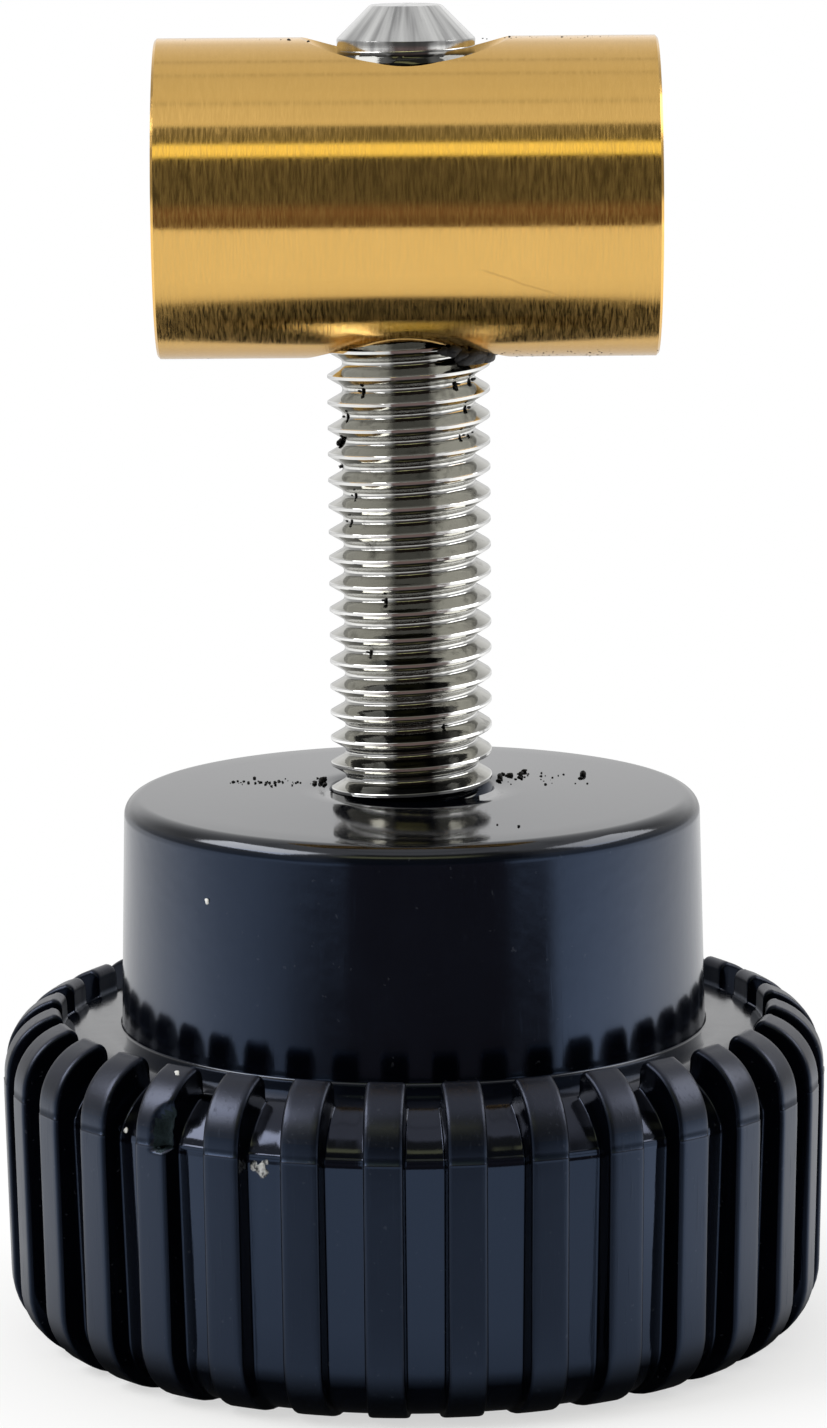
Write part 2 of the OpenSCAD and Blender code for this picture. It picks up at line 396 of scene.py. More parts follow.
def steel_material():
    """Rolled steel, nearly a mirror: fine lines along the thread, grime on the flanks, a painted dark
    reflection on their front, painted shade under the neck, a rubbed tip.
    """
    root, flank, crest = (0.74, 0.74, 0.72), (0.43, 0.425, 0.39), (0.84, 0.84, 0.83)
    line_grey, grime_brown = (0.24, 0.235, 0.215, 1), (0.06, 0.055, 0.045, 1)
    painted_front_dark, painted_mouth_dark = (0.06, 0.06, 0.055, 1), (0.05, 0.05, 0.05, 1)
    tip_greys = [(0.32, (0.34, 0.34, 0.34)), (0.46, (0.60, 0.60, 0.595)), (0.64, (0.80, 0.80, 0.79))]
    mat, t, co = material("stud_steel")
    x, y, z = t.split(co)
    radius = t.radius(x, y)
    turn = t.turn(x, y)
    sunk = t.minus(1.0, t.fade_mm(radius, CREST_EDGE))
    tip = t.fade_mm(z, TIP_EDGE)
    lines = t.brushed(co, (420.0, 420.0, 20000.0))
    patch = t.noise(co, 900.0, 4.0, 0.65)
    grime = t.times(t.mask(patch, 0.56, 0.74), sunk)
    # Bright roots and crests, darker flanks between them
    colour = t.ramp(t.fade_mm(radius, (ROOT_R, THREAD_R)), [
        (0.02, root), (0.09, flank), (0.91, flank), (0.97, crest),
    ])
    colour = t.mix(t.times(lines, 0.35), colour, line_grey)
    colour = t.mix(t.times(grime, 0.60), colour, grime_brown)
    # A dark reflection painted on the front of the flanks, and painted shade under the neck, where the stud
    # sits in the nut's upper mouth
    painted_front_shade = t.greys(turn, [(0.452, 0), (0.460, 0.55), (0.547, 0.55), (0.556, 0)])
    colour = t.mix(t.times(painted_front_shade, sunk), colour, painted_front_dark)
    # Painted shade on the stud inside the nut's upper mouth, below the tip
    mouth_shade = t.times(t.fade_mm(z, COLLAR_EDGE, 0.0, 0.8), t.minus(1.0, tip))
    colour = t.mix(mouth_shade, colour, painted_mouth_dark)
    # Streaks down the worn cone
    along = t.add("CombineXYZ", {0: t.times(turn, 34.0), 2: t.times(z, 240.0)}).outputs[0]
    streak = t.noise(along, 1.0, 2.0)
    colour = t.mix(t.times(tip, 0.85), colour, t.ramp(streak, tip_greys))
    bump = t.bump(lines, 0.20, 0.000008)
    bump = t.bump(patch, 0.15, 0.00002, bump)
    t.principled({
        "Base Color": colour, "Metallic": 1.0, "Normal": bump,
        "Roughness": t.weighted(0.045, (lines, 0.05), (grime, 0.22), (tip, 0.10)),
    })
    return mat


def grime_material():
    """Black crumbs and old grease."""
    mat, t, co = material("black_grime")
    lump = t.noise(co, 6000.0, 4.0, 0.65)
    t.principled({
        "Base Color": t.ramp(lump, [(0.35, (0.002, 0.002, 0.003)), (0.75, (0.016, 0.015, 0.014))]),
        "Roughness": t.weighted(0.30, (lump, 0.3)), "Normal": t.bump(lump, 0.8, 0.00005),
        "Specular IOR Level": 0.2,
    })
    return mat


def drop_material():
    """A dried clear drop."""
    mat, t, co = material("dried_drop")
    colour = t.ramp(t.noise(co, 4200.0), [(0.36, (0.02, 0.025, 0.03)), (0.56, (0.62, 0.63, 0.64))])
    t.principled({"Base Color": colour, "Roughness": 0.08})
    return mat


def dust_and_glint_material():
    """Pale specks: dust, and two pale spots that stand in for glints, painted highlights."""
    mat, t, co = material("pale_dust_and_glints")
    colour = t.ramp(t.noise(co, 5000.0), [(0.3, (0.62, 0.62, 0.60)), (0.7, (0.88, 0.88, 0.86))])
    t.principled({"Base Color": colour, "Roughness": 0.45})
    return mat


# The moulded knob

def wall_top():
    """Outline of the grip wall's round: a tight round, a flatter one and a last round onto the shoulder."""
    r, z = WALL_R, SHOULDER_Z - WALL_TOP
    points = []
    for radius, a, b, n in WALL_ARCS:
        run = arc(0, 0, radius, a, b, n)
        points.append(run - run[0] + (r, z))
        r, z = points[-1][-1]
    points = np.concatenate(points)
    stretch = (SHOULDER_Z - points[0, 1]) / (points[-1, 1] - points[0, 1])
    points[:, 1] = points[0, 1] + (points[:, 1] - points[0, 1]) * stretch
    return points


def wall_at(z):
    """Point of the grip wall at a height."""
    low, top = SHOULDER_Z - WALL_TOP, wall_top()
    if z <= low:
        return WALL_FOOT_R + (WALL_R - WALL_FOOT_R) * (z - WALL_CROWN) / (low - WALL_CROWN), z
    return np.interp(z, top[:, 1], top[:, 0]), z


def end_height():
    """Height at which a rib's inner end face meets the round of the wall."""
    top = wall_top()
    return float(np.interp(END_DIP - RIB_END_R - MOULD_STEP, -top[:, 0], top[:, 1]))


def knob_rows():
    """Pairs of outline points, one on the grip wall and one on the rib, from the crown to the rib's end."""
    rib_mid = GRIP_R - RIB_TOP
    wall = [arc(WALL_FOOT_R - WALL_CROWN, WALL_CROWN, WALL_CROWN, -90, 0, 12)]
    rib = [arc(FOOT_R - RIB_CROWN, RIB_CROWN, RIB_CROWN, -90, 0, 12)]
    # Plain grip, with closer rows where the chip is
    low, top = 12.0, PART_Z - 0.04
    rib += [line((FOOT_R, RIB_CROWN), (GRIP_R, low), 5), line((GRIP_R, low), (GRIP_R, top), 7)]
    wall += [line((WALL_FOOT_R, WALL_CROWN), wall_at(low), 5)]
    wall.append(np.array([wall_at(z) for z in np.linspace(low, top, 8)[1:]]))
    # Parting line: a fine lip, above which the upper half of the mould stands back by a hair
    edge, above = wall_at(PART_Z)[0], PART_Z + 0.03
    wall.append(np.array([[edge + 0.01, PART_Z], [edge - MOULD_STEP, above]]))
    rib.append(np.array([[GRIP_R + 0.015, PART_Z], [GRIP_R - MOULD_STEP, above]]))
    # Rounded top, then the rounded nose at the rib's inner end and its end face
    nose_r = RIB_END_R + RIB_NOSE
    nose_z = RIB_MID_Z + math.sqrt((RIB_TOP - RIB_NOSE) ** 2 - (nose_r - rib_mid) ** 2)
    turn = math.degrees(math.atan2(nose_z - RIB_MID_Z, nose_r - rib_mid))
    nose = arc(nose_r, nose_z, RIB_NOSE, turn + 12, 180, 7)
    end_z = end_height()
    end = line(nose[-1], (RIB_END_R - END_DIP, end_z), 3)
    rib += [arc(rib_mid, RIB_MID_Z, RIB_TOP - MOULD_STEP, 2, turn, 16), nose, end]
    heights = np.concatenate([
        np.linspace(PART_Z + 0.07, end_z - 0.30, 17),
        np.linspace(end_z - 0.28, end_z, len(nose) + len(end)),
    ])
    wall.append(np.array([(wall_at(z)[0] - MOULD_STEP, z) for z in heights]))
    return np.concatenate(wall), np.concatenate(rib)


def body_rows():
    """Outline of the turned part: shoulder, hub, clamping face and the stud's hole."""
    hub_top = HUB_Z - HUB_EDGE
    foot = np.array((HUB_BASE_R, SHOULDER_Z + HUB_FILLET))
    shares = np.array([0.008, 0.2, 0.4, 0.6, 0.8, 0.992, 1.0])[:, None]
    row_gap = 0.04
    top = wall_top()
    rest = top[top[:, 1] > end_height() + row_gap][::6] - (MOULD_STEP, 0)
    return np.concatenate([
        rest,
        line((rest[-1, 0], SHOULDER_Z), (HUB_BASE_R + HUB_FILLET, SHOULDER_Z), 2),
        arc(HUB_BASE_R + HUB_FILLET, SHOULDER_Z + HUB_FILLET, HUB_FILLET, -90, -180, 3)[1:],
        foot + (np.array((HUB_R, hub_top)) - foot) * shares,
        arc(HUB_R - HUB_EDGE, hub_top, HUB_EDGE, 0, 90, 10)[1:],
        line((HUB_R - HUB_EDGE, HUB_Z), (HOLE_R + 0.12, FACE_Z - 0.01), 6),
        [(HOLE_R, FACE_Z - 0.08), (HOLE_R, FACE_Z - HOLE_DEPTH)],
    ])


def rib_columns():
    """Columns across one rib and the wall beside it.

    Each is an offset, a drop below the rib's top and a height above the wall.
    """
    edge, root, gap = 0.22, 0.10, 0.012
    half = RIB_W / 2
    right = [(v, 0.0, None) for v in (0.0, 0.18, 0.36, 0.52)]
    for a in np.radians([0, 25, 48, 69, 90]):
        right.append((half - edge + edge * math.sin(a), edge * (1 - math.cos(a)), None))
    for a in np.radians([0, 32, 62, 90]):
        right.append((half + gap + root * (1 - math.cos(a)), None, root * (1 - math.sin(a))))
    left = [(-v, drop, up) for v, drop, up in right[:0:-1]]
    return left + right


def chip_depth(offset, z):
    """How deep the break lies under the chipped rib's face: its right half, with a slant on the round."""
    slant_z, slant_h, slant_w, step_h = 14.2, 0.8, 0.85, 0.12
    inner = RIB_W / 2 - CHIP_W + slant_w * np.clip((z - slant_z) / slant_h, 0, 1.3)
    inner = inner + 0.03 * np.sin(9 * z) + 0.02 * np.sin(23 * z + 1)
    depth = CHIP_D * np.clip((offset - inner) / CHIP_W * 1.6, 0, 1) * np.clip((z - CHIP_Z) / step_h, 0, 1)
    ripple = 0.05 * np.sin(11 * z + 7 * offset) + 0.03 * np.sin(29 * z - 13 * offset)
    return np.maximum(depth + ripple * np.clip(depth / 0.15, 0, 1), 0)


def knob_points():
    """Rows of the knob's skin, which of their points lie on the break, and how high each lies on a rib."""
    wall, rib = knob_rows()
    columns = rib_columns()
    step = 2 * math.pi / RIBS
    start = np.radians(RIB_START) + step * np.arange(RIBS)[:, None]
    offset = np.array([v for v, _, _ in columns])
    valley = np.array([0.25, 0.5, 0.75])
    rows, broken, shares = [], [], []

    def ring(r, z, reference):
        """One row: rib columns at their offset, then columns in the valley at even angles."""
        turn = np.arcsin(offset / (r if reference is None else reference))
        reach = turn[:, -1:] if turn.ndim == 2 else np.full((RIBS, 1), turn[-1])
        side = start + reach + valley * (step - 2 * reach)
        angle = np.concatenate([start + turn, side], 1)
        r = np.concatenate([r, np.repeat(r[:, -1:], len(valley), 1)], 1)
        z = np.concatenate([z, np.repeat(z[:, -1:], len(valley), 1)], 1)
        return np.stack([r * np.cos(angle), r * np.sin(angle), z], 2).reshape(-1, 3)

    for k, ((wr, wz), (rr, rz)) in enumerate(zip(wall, rib)):
        height = max(math.hypot(rr - wr, rz - wz), 1e-6)
        share = np.array([
            max(0.5, 1 - drop / height) if up is None else min(0.5, up / height) for _, drop, up in columns
        ])
        r = np.tile(wr + share * (rr - wr), (RIBS, 1))
        z = np.tile(wz + share * (rz - wz), (RIBS, 1))
        before, after = rib[max(k - 1, 0)], rib[min(k + 1, len(rib) - 1)]
        along = (after - before) / max(np.hypot(*(after - before)), 1e-6)
        depth = np.maximum(chip_depth(offset, z[CHIP_RIB]) - (1 - share) * height, 0)
        r[CHIP_RIB] -= depth * along[1]
        z[CHIP_RIB] += depth * along[0]
        rows.append(ring(r, z, None))
        mark = np.zeros((RIBS, len(columns) + len(valley)), bool)
        mark[CHIP_RIB, :len(columns)] = depth > 0.02
        broken.append(mark.ravel())
        shares.append(np.tile(np.concatenate([share, np.zeros(len(valley))]), RIBS))
    for radius, height in body_rows():
        r, z = np.full((RIBS, len(columns)), radius), np.full((RIBS, len(columns)), height)
        rows.append(ring(r, z, RIB_END_R if radius < RIB_END_R else None))
        broken.append(np.zeros(len(rows[0]), bool))
        shares.append(np.zeros(len(rows[0])))
    return rows, broken, shares


def build_knob(skin, fracture):
    """The moulding as one closed skin: crown, grip, shoulder, hub, clamping face and the stud's hole."""
    rows, broken, shares = knob_points()
    cols = len(rows[0])
    crown = [rows[0] * [s, s, 1] for s in (0.3, 0.75)]
    floor = [rows[-1] * [s, s, 1] for s in (0.7, 0.3)]
    grid = crown + rows + floor
    points = np.concatenate(grid + [np.array([[0, 0, 0], [0, 0, FACE_Z - HOLE_DEPTH]])])

    def padded(values):
        """Values of all points, with zeros on the crown and on the hole's floor."""
        return np.concatenate([np.zeros(len(crown) * cols), *values, np.zeros(len(floor) * cols + 2)])

    last = (len(grid) - 1) * cols
    faces = ring_faces(len(grid), cols)
    faces += fan(range(cols)[::-1], len(points) - 2)
    faces += fan(range(last, last + cols), len(points) - 1)
    knob = make_object("knob_moulding", points, faces, skin, "knob")
    knob.data.materials.append(fracture)
    marked = padded(broken)
    for polygon in knob.data.polygons:
        if marked[list(polygon.vertices)].all():
            polygon.material_index = 1
    knob.data.attributes.new("rib", "FLOAT", "POINT").data.foreach_set("value", padded(shares))
    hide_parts("knob")


# The threaded stud

def thread_profile():
    """Height and radius along one pitch, with a rounded root and a crisp crest."""
    depth = THREAD_R - ROOT_R
    flank = depth / math.tan(math.radians(60))
    root = 0.21 * PITCH
    crest = PITCH - root - 2 * flank
    top, down = root + flank, root + flank + crest
    bevel, bevel_w = 0.012, 0.02
    run = []
    for f, rise in ((0, 0.04), (0.22, 0.01), (0.5, 0.0), (0.78, 0.01), (1, 0.04)):
        run.append((f * root, ROOT_R + rise))
    run += [(root + f * flank, ROOT_R + f * depth) for f in (0.14, 0.40, 0.70)]
    run += [(top, THREAD_R - bevel), (top + bevel_w, THREAD_R)]
    run += [(down - bevel_w, THREAD_R), (down, THREAD_R - bevel)]
    run += [(PITCH - f * flank, ROOT_R + f * depth) for f in (0.70, 0.40, 0.14)]
    return run


def dented(r, z, a, dents):
    """Radius of a crest, lowered by dents that are longer around the thread than along the axis."""
    shrink_z, shrink_around = 2.0, 1.3
    for dent_z, dent_a, size in dents:
        across = math.remainder(a - dent_a, 2 * math.pi) * THREAD_R * shrink_around
        away = math.hypot((z - dent_z) * shrink_z, across)
        if away < DENT_REACH:
            r -= size * (1 - away / DENT_REACH)
    return r


def thread_point(r, z, a, dents):
    """A point of the thread, with dents in the crest, the run-out and the plain neck."""
    crest_h, runout_slope, runout_h, neck_drop = 0.1, 0.6, 0.35, 0.02
    if r > THREAD_R - crest_h:
        r = dented(r, z, a, dents)
    r = min(r, NECK_R + max(0.0, RUNOUT_Z - z) * runout_slope)
    if z > RUNOUT_Z - runout_h:
        r = max(r, NECK_R - neck_drop)
    # On the plain neck the rows close up under its end
    z = min(z, CLOSE_Z + (z - CLOSE_Z) * CLOSE_SHARE)
    return r * math.cos(a), r * math.sin(a), z


def tip_rows():
    """Radius and height of the rings over the neck, the cone and the flat."""
    edge = 0.05
    return [
        (NECK_R, NECK_Z - edge), (NECK_R - edge * 0.4, NECK_Z + edge * 0.4), (TIP_R + edge, TIP_Z - edge),
        (TIP_R - edge, TIP_Z), (TIP_R * 0.5, TIP_Z),
    ]


def build_stud(steel):
    """A helical skin from inside the hub up to the neck, closed by rings over the neck, cone and flat."""
    rng = random.Random(4)
    profile = thread_profile()
    per = len(profile)
    angles = [SEAM + 2 * math.pi * c / STUD_SEG for c in range(STUD_SEG)]
    start = THREAD_START + PITCH * (1 + SEAM / (2 * math.pi) - 0.5)
    turns = int((NECK_Z + 0.6 - start) / PITCH)
    dents = []
    for _ in range(60):
        dents.append((rng.uniform(28, 61), rng.uniform(0, 2 * math.pi), rng.uniform(0.03, 0.09)))
    points = []
    for m in range(turns * per + 1):
        rise, r = profile[m % per]
        for c, a in enumerate(angles):
            z = start + PITCH * (m // per + c / STUD_SEG) + rise
            points.append(thread_point(r, z, a, dents))

    def at(m, c):
        """Number of a point; past the seam a row goes on one turn higher."""
        return m * STUD_SEG + c if c < STUD_SEG else (m + per) * STUD_SEG + c - STUD_SEG

    last = (turns - 1) * per
    faces = []
    for m in range(last):
        for c in range(STUD_SEG):
            faces.append((at(m, c), at(m, c + 1), at(m + 1, c + 1), at(m + 1, c)))
    # The foot, hidden in the knob
    foot = [at(0, c) for c in range(STUD_SEG)] + [at(m, 0) for m in range(per, 0, -1)]
    points.append((0, 0, start - 0.1))
    faces += fan(foot[::-1], len(points) - 1)
    # Neck, cone and flat: the first ring closes the step that the thread's last turn leaves
    rings = tip_rows()
    ring = len(points)
    for r, z in rings:
        points += [(r * math.cos(a), r * math.sin(a), z) for a in angles]
    column = [at(last + m, 0) for m in range(per, -1, -1)]
    faces.append((*column, at(last, 1), ring + 1, ring))
    for c in range(1, STUD_SEG):
        faces.append((at(last, c), at(last, c + 1), ring + (c + 1) % STUD_SEG, ring + c))
    faces += [tuple(ring + v for v in f) for f in ring_faces(len(rings), STUD_SEG)]
    points.append((0, 0, TIP_Z))
    tip = len(points) - 1
    faces += fan(range(tip - STUD_SEG, tip), tip)
    used = sorted({i for f in faces for i in f})
    number = {old: new for new, old in enumerate(used)}
    stud = make_object(
        "stud_thread", [points[i] for i in used], [tuple(number[i] for i in f) for f in faces],
        steel, "knob",
    )
    stud.data.set_sharp_from_angle(angle=SHARP_ANGLE)
    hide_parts("threaded_stud")


# The barrel nut

def mouth_radius(way):
    """Distance of the hole's rim from its axis: the countersink widens it along the barrel, not across."""
    r = MOUTH_R
    for _ in range(40):
        r = MOUTH_R - NUT_R + math.sqrt(NUT_R ** 2 - (r * math.sin(way)) ** 2)
    return max(r, BORE_R + 0.05)


def nut_edge():
    """Where the point rows of one half end, as x and angle: right end, seam, left end, other seam."""
    straight = NUT_HALF - NUT_CHAMFER
    right = [(straight, -90 + 180 * i / NUT_END) for i in range(NUT_END)]
    seam = [(straight - 2 * straight * i / NUT_SIDE, 90) for i in range(NUT_SIDE)]
    return right + seam + [(-x, -a) for x, a in right] + [(-x, -a) for x, a in seam]


def nut_half(edge, sign, points):
    """Rows of point numbers from the hole's rim outwards; sign is 1 for the upper half."""
    grid = []
    for k in range(NUT_ROWS + 1):
        f = (k / NUT_ROWS) ** 1.25
        first = len(points)
        for x1, a1 in edge:
            way = math.atan2(NUT_R * math.radians(a1), x1)
            mouth = mouth_radius(way)
            x0, y0 = mouth * math.cos(way), mouth * math.sin(way)
            a0 = math.degrees(math.asin(y0 / NUT_R))
            x, a = x0 + f * (x1 - x0), math.radians(a0 + f * (a1 - a0))
            points.append((x, NUT_R * math.sin(a), sign * NUT_R * math.cos(a)))
        grid.append(range(first, len(points)))
    return grid


def nut_hole(upper, lower, points):
    """Faces of the hole: a countersunk mouth at each end and the bore between them."""
    faces, mouths = [], []
    for rim, sign in ((upper, 1), (lower, -1)):
        first = len(points)
        for i in rim:
            x, y, z = points[i]
            way = math.atan2(y, x)
            depth = min(abs(z) - 0.05, NUT_R - MOUTH_R + BORE_R)
            points.append((BORE_R * math.cos(way), BORE_R * math.sin(way), sign * depth))
        mouths.append(range(first, len(points)))
        faces += band(rim, mouths[-1])
    above = mouths[0]
    for f in (0.2, 0.4, 0.6, 0.8):
        first = len(points)
        for i, j in zip(*mouths):
            points.append(tuple(np.array(points[i]) * (1 - f) + np.array(points[j]) * f))
        below = range(first, len(points))
        faces += band(above, below)
        above = below
    return faces + band(above, mouths[1])


def nut_end(sign, rim, points):
    """Faces of one end: a narrow chamfer and a face with a shallow turning ring."""
    dished = NUT_HALF - NUT_DISH
    faces, ring = [], rim
    for r, x in ((NUT_R - NUT_CHAMFER * 0.35, NUT_HALF - NUT_CHAMFER * 0.65),
                 (NUT_R - NUT_CHAMFER, NUT_HALF), (NUT_R * 0.86, NUT_HALF),
                 (NUT_R * 0.5, dished), (NUT_R * 0.15, dished)):
        first = len(points)
        for i in rim:
            _, y, z = points[i]
            points.append((sign * x, y * r / NUT_R, z * r / NUT_R))
        new = range(first, len(points))
        faces += band(ring, new)
        ring = new
    points.append((sign * dished, 0, 0))
    return faces + fan(ring, len(points) - 1)


def build_nut(brass):
    """Barrel with a cross hole: rows of points run from the hole's rim to the barrel's seam and ends."""
    edge = nut_edge()
    points, faces = [], []
    upper, lower = nut_half(edge, 1, points), nut_half(edge, -1, points)
    for grid in (upper, lower):
        for inner, outer in zip(grid, grid[1:]):
            faces += band(inner, outer)
    faces += nut_hole(upper[0], lower[0], points)
    for sign in (1, -1):
        there = [k for k, (x, _) in enumerate(edge) if x * sign > NUT_HALF - NUT_CHAMFER - 1e-6]
        back = [lower[-1][k] for k in there]
        faces += nut_end(sign, [upper[-1][k] for k in there] + back[::-1][1:-1], points)
    place = np.array(points) + [0, 0, NUT_Z]
    nut = make_object("nut_barrel", place, faces, brass, "barrel_nut")
    skin = bmesh.new()
    skin.from_mesh(nut.data)
    bmesh.ops.remove_doubles(skin, verts=skin.verts, dist=MERGE_DISTANCE)
    bmesh.ops.recalc_face_normals(skin, faces=skin.faces)
    skin.to_mesh(nut.data)
    skin.free()
    nut.data.set_sharp_from_angle(angle=SHARP_ANGLE)
    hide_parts("barrel_nut")


# Crumbs, grease, dust and two painted glints, with places in millimetres and degrees

def lumps(name, places, mat, body, seed, lowest=0.0):
    """Small irregular lumps: each place is a centre, three half sizes and a turn about Z."""
    rng = random.Random(seed)
    wave_count, wave_size, wave_pace = 5, 0.16, 1.7
    points, faces = [], []
    for centre, half, turn in places:
        base = len(points)
        c, s = math.cos(math.radians(turn)), math.sin(math.radians(turn))
        waves = []
        for _ in range(wave_count):
            way = Vector((rng.gauss(0, 1), rng.gauss(0, 1), rng.gauss(0, 1)))
            waves.append((way, rng.uniform(0, 6)))
        for i in range(LUMP_ROWS):
            for j in range(LUMP_COLS):
                lat, lon = math.pi * (i + 0.5) / LUMP_ROWS - math.pi / 2, 2 * math.pi * j / LUMP_COLS
                d = Vector((math.cos(lat) * math.cos(lon), math.cos(lat) * math.sin(lon), math.sin(lat)))
                k = 1 + wave_size * sum(math.sin(wave_pace * d.dot(w) + p) for w, p in waves)
                x, y, z = (d[a] * half[a] * k for a in range(3))
                x, y = c * x - s * y, s * x + c * y
                points.append((centre[0] + x, centre[1] + y, max(centre[2] + z, lowest)))
        faces += [tuple(base + v for v in f) for f in ring_faces(LUMP_ROWS, LUMP_COLS)]
        faces.append(tuple(range(base, base + LUMP_COLS))[::-1])
        faces.append(tuple(range(len(points) - LUMP_COLS, len(points))))
    make_object(name, points, faces, mat, body)


def face_height(r):
    """Height of the clamping face at a radius."""
    return FACE_Z - (FACE_Z - HUB_Z) * (r - HOLE_R) / (HUB_R - HUB_EDGE - HOLE_R)


def face_crumbs(rng, grime):
    """Flash torn up beside the stud, a trail to the left and loose crumbs to the right."""
    flat = 0.6
    crumbs = []

    def crumb(x, y, size):
        z = face_height(math.hypot(x, y)) + size * flat * 0.35
        turn = rng.uniform(0, 180)
        crumbs.append(((x, y, z), (size, size * rng.uniform(0.5, 0.8), size * flat), turn))

    for x, y, size in ((-4.35, 1.5, 0.24), (-4.7, 1.0, 0.18), (-4.2, 0.6, 0.14), (-4.25, 2.4, 0.13),
                       (4.35, 2.2, 0.26), (4.75, 2.9, 0.22), (4.45, 3.3, 0.16), (4.2, 1.2, 0.16),
                       (5.35, 3.2, 0.18), (5.5, 4.2, 0.14), (5.3, 2.4, 0.10), (6.3, 3.0, 0.08),
                       (8.4, 3.7, 0.24), (8.2, 2.6, 0.10), (8.5, 1.2, 0.06), (5.0, -9.3, 0.10),
                       (4.0, -9.0, 0.06)):
        crumb(x, y, size)
    for _ in range(40):
        along = rng.random()
        x = -4.6 - 4.2 * along + rng.gauss(0, 0.3)
        y = 1.6 + 0.5 * along + rng.gauss(0, 0.5)
        crumb(x, y, rng.uniform(0.025, 0.09))
    for _ in range(24):
        crumb(4.6 + abs(rng.gauss(0, 1.5)), 2.6 + rng.gauss(0, 1.0), rng.uniform(0.02, 0.08))
    lumps("face_crumbs", crumbs, grime, "knob", 3)


def thread_grease(grime):
    """Grease packed into the thread's roots, each lump moved to the nearest root."""
    packed_r, root_middle = 3.30, 0.13
    packed = []
    for z, angle, size in ((43.2, 178, 0.30), (42.6, 172, 0.16), (44.6, 200, 0.11), (40.9, 214, 0.10),
                           (45.9, 338, 0.12), (45.3, 330, 0.10), (39.6, 205, 0.08), (36.1, 248, 0.08),
                           (33.2, 232, 0.07), (30.3, 300, 0.07), (46.2, 226, 0.09), (44.3, 322, 0.09),
                           (43.4, 336, 0.07), (47.0, 315, 0.10)):
        turn = (THREAD_START + PITCH * (angle + 180) / 360 + root_middle - z) / PITCH
        z += (turn - round(turn)) * PITCH
        packed.append((polar(packed_r, angle, z), (size * 0.7, size * 1.6, size * 0.6), angle))
    lumps("thread_grease", packed, grime, "knob", 5)


def nut_grease(rng, grime):
    """Grease squeezed out under the nut, and dark grit on its upper and lower edges."""
    ring_r = 4.25
    under = []
    for angle, z, size in ((294, 48.1, 0.20), (301, 48.0, 0.30), (308, 47.85, 0.40), (316, 47.75, 0.46),
                           (324, 47.7, 0.46), (332, 47.7, 0.42), (339, 47.75, 0.34), (346, 47.85, 0.22)):
        under.append((polar(ring_r, angle, z), (size * 0.42, size * 1.5, size), angle))
    # Grit: x, angle from the top over the front, size
    grit = [(-5.9, 6, 0.10), (-5.5, 7, 0.13), (-4.6, 9, 0.08), (-6.9, 6, 0.04), (4.9, 2, 0.07),
            (7.4, 5, 0.09), (8.8, 3, 0.05), (10.9, 8, 0.04), (-10.4, 5, 0.04), (-9.5, 169, 0.04)]
    for _ in range(26):
        grit.append((rng.uniform(3.6, 9.6), rng.uniform(1, 9), rng.uniform(0.02, 0.06)))
    for _ in range(60):
        x = rng.uniform(3.9, 9.2) + abs(rng.gauss(0, 0.8))
        grit.append((x, rng.uniform(158, 172), rng.uniform(0.02, 0.08)))
    for x, degrees, size in grit:
        a = math.radians(degrees)
        y, z = -(NUT_R - size * 0.3) * math.sin(a), NUT_Z + (NUT_R - size * 0.35) * math.cos(a)
        under.append(((x, y, z), (size, size * 0.6, size * 0.5), rng.uniform(0, 180)))
    # The lumps stay clear of the clamping face when the nut is screwed right down
    lumps("nut_grease", under, grime, "barrel_nut", 8, NUT_Z - NUT_R - 0.1)


def dust_and_glint_specks(dust_and_glints):
    """Pale specks on the hub, on the chipped rib and beside it: dust, and two painted highlights on the
    chipped rib.
    """
    specks = []
    # The second and third specks, on the chipped rib, are painted highlights: pale spots where the break
    # glints; the others are dust
    for r, angle, z, size in ((13.98, -133.5, 23.1, 0.12), (18.2, -127.0, 15.9, 0.13),
                              (19.55, -128.3, 14.0, 0.11), (18.82, -135.4, 12.9, 0.15),
                              (18.82, -136.8, 12.85, 0.13)):
        specks.append((polar(r, angle, z), (size * 0.45, size, size), angle))
    lumps("dust_and_glint_specks", specks, dust_and_glints, "knob", 13)


def dried_drop(drop):
    """A dried drop in one valley."""
    valley_r = 18.91
    beads = []
    for angle, z, size in ((-111.7, 12.10, 0.33), (-112.9, 12.25, 0.22), (-114.2, 12.30, 0.15),
                           (-111.2, 12.42, 0.17)):
        beads.append((polar(valley_r, angle, z), (size * 0.4, size, size), angle))
    lumps("dried_drop", beads, drop, "knob", 17)


def build_dirt_and_glints(grime, dust_and_glints, drop):
    """All the dirt and two painted glints; the crumbs and the grit draw from one run of random numbers, in
    this order.
    """
    rng = random.Random(21)
    face_crumbs(rng, grime)
    thread_grease(grime)
    nut_grease(rng, grime)
    dust_and_glint_specks(dust_and_glints)
    dried_drop(drop)


# The stage: floor, world, lamps and camera

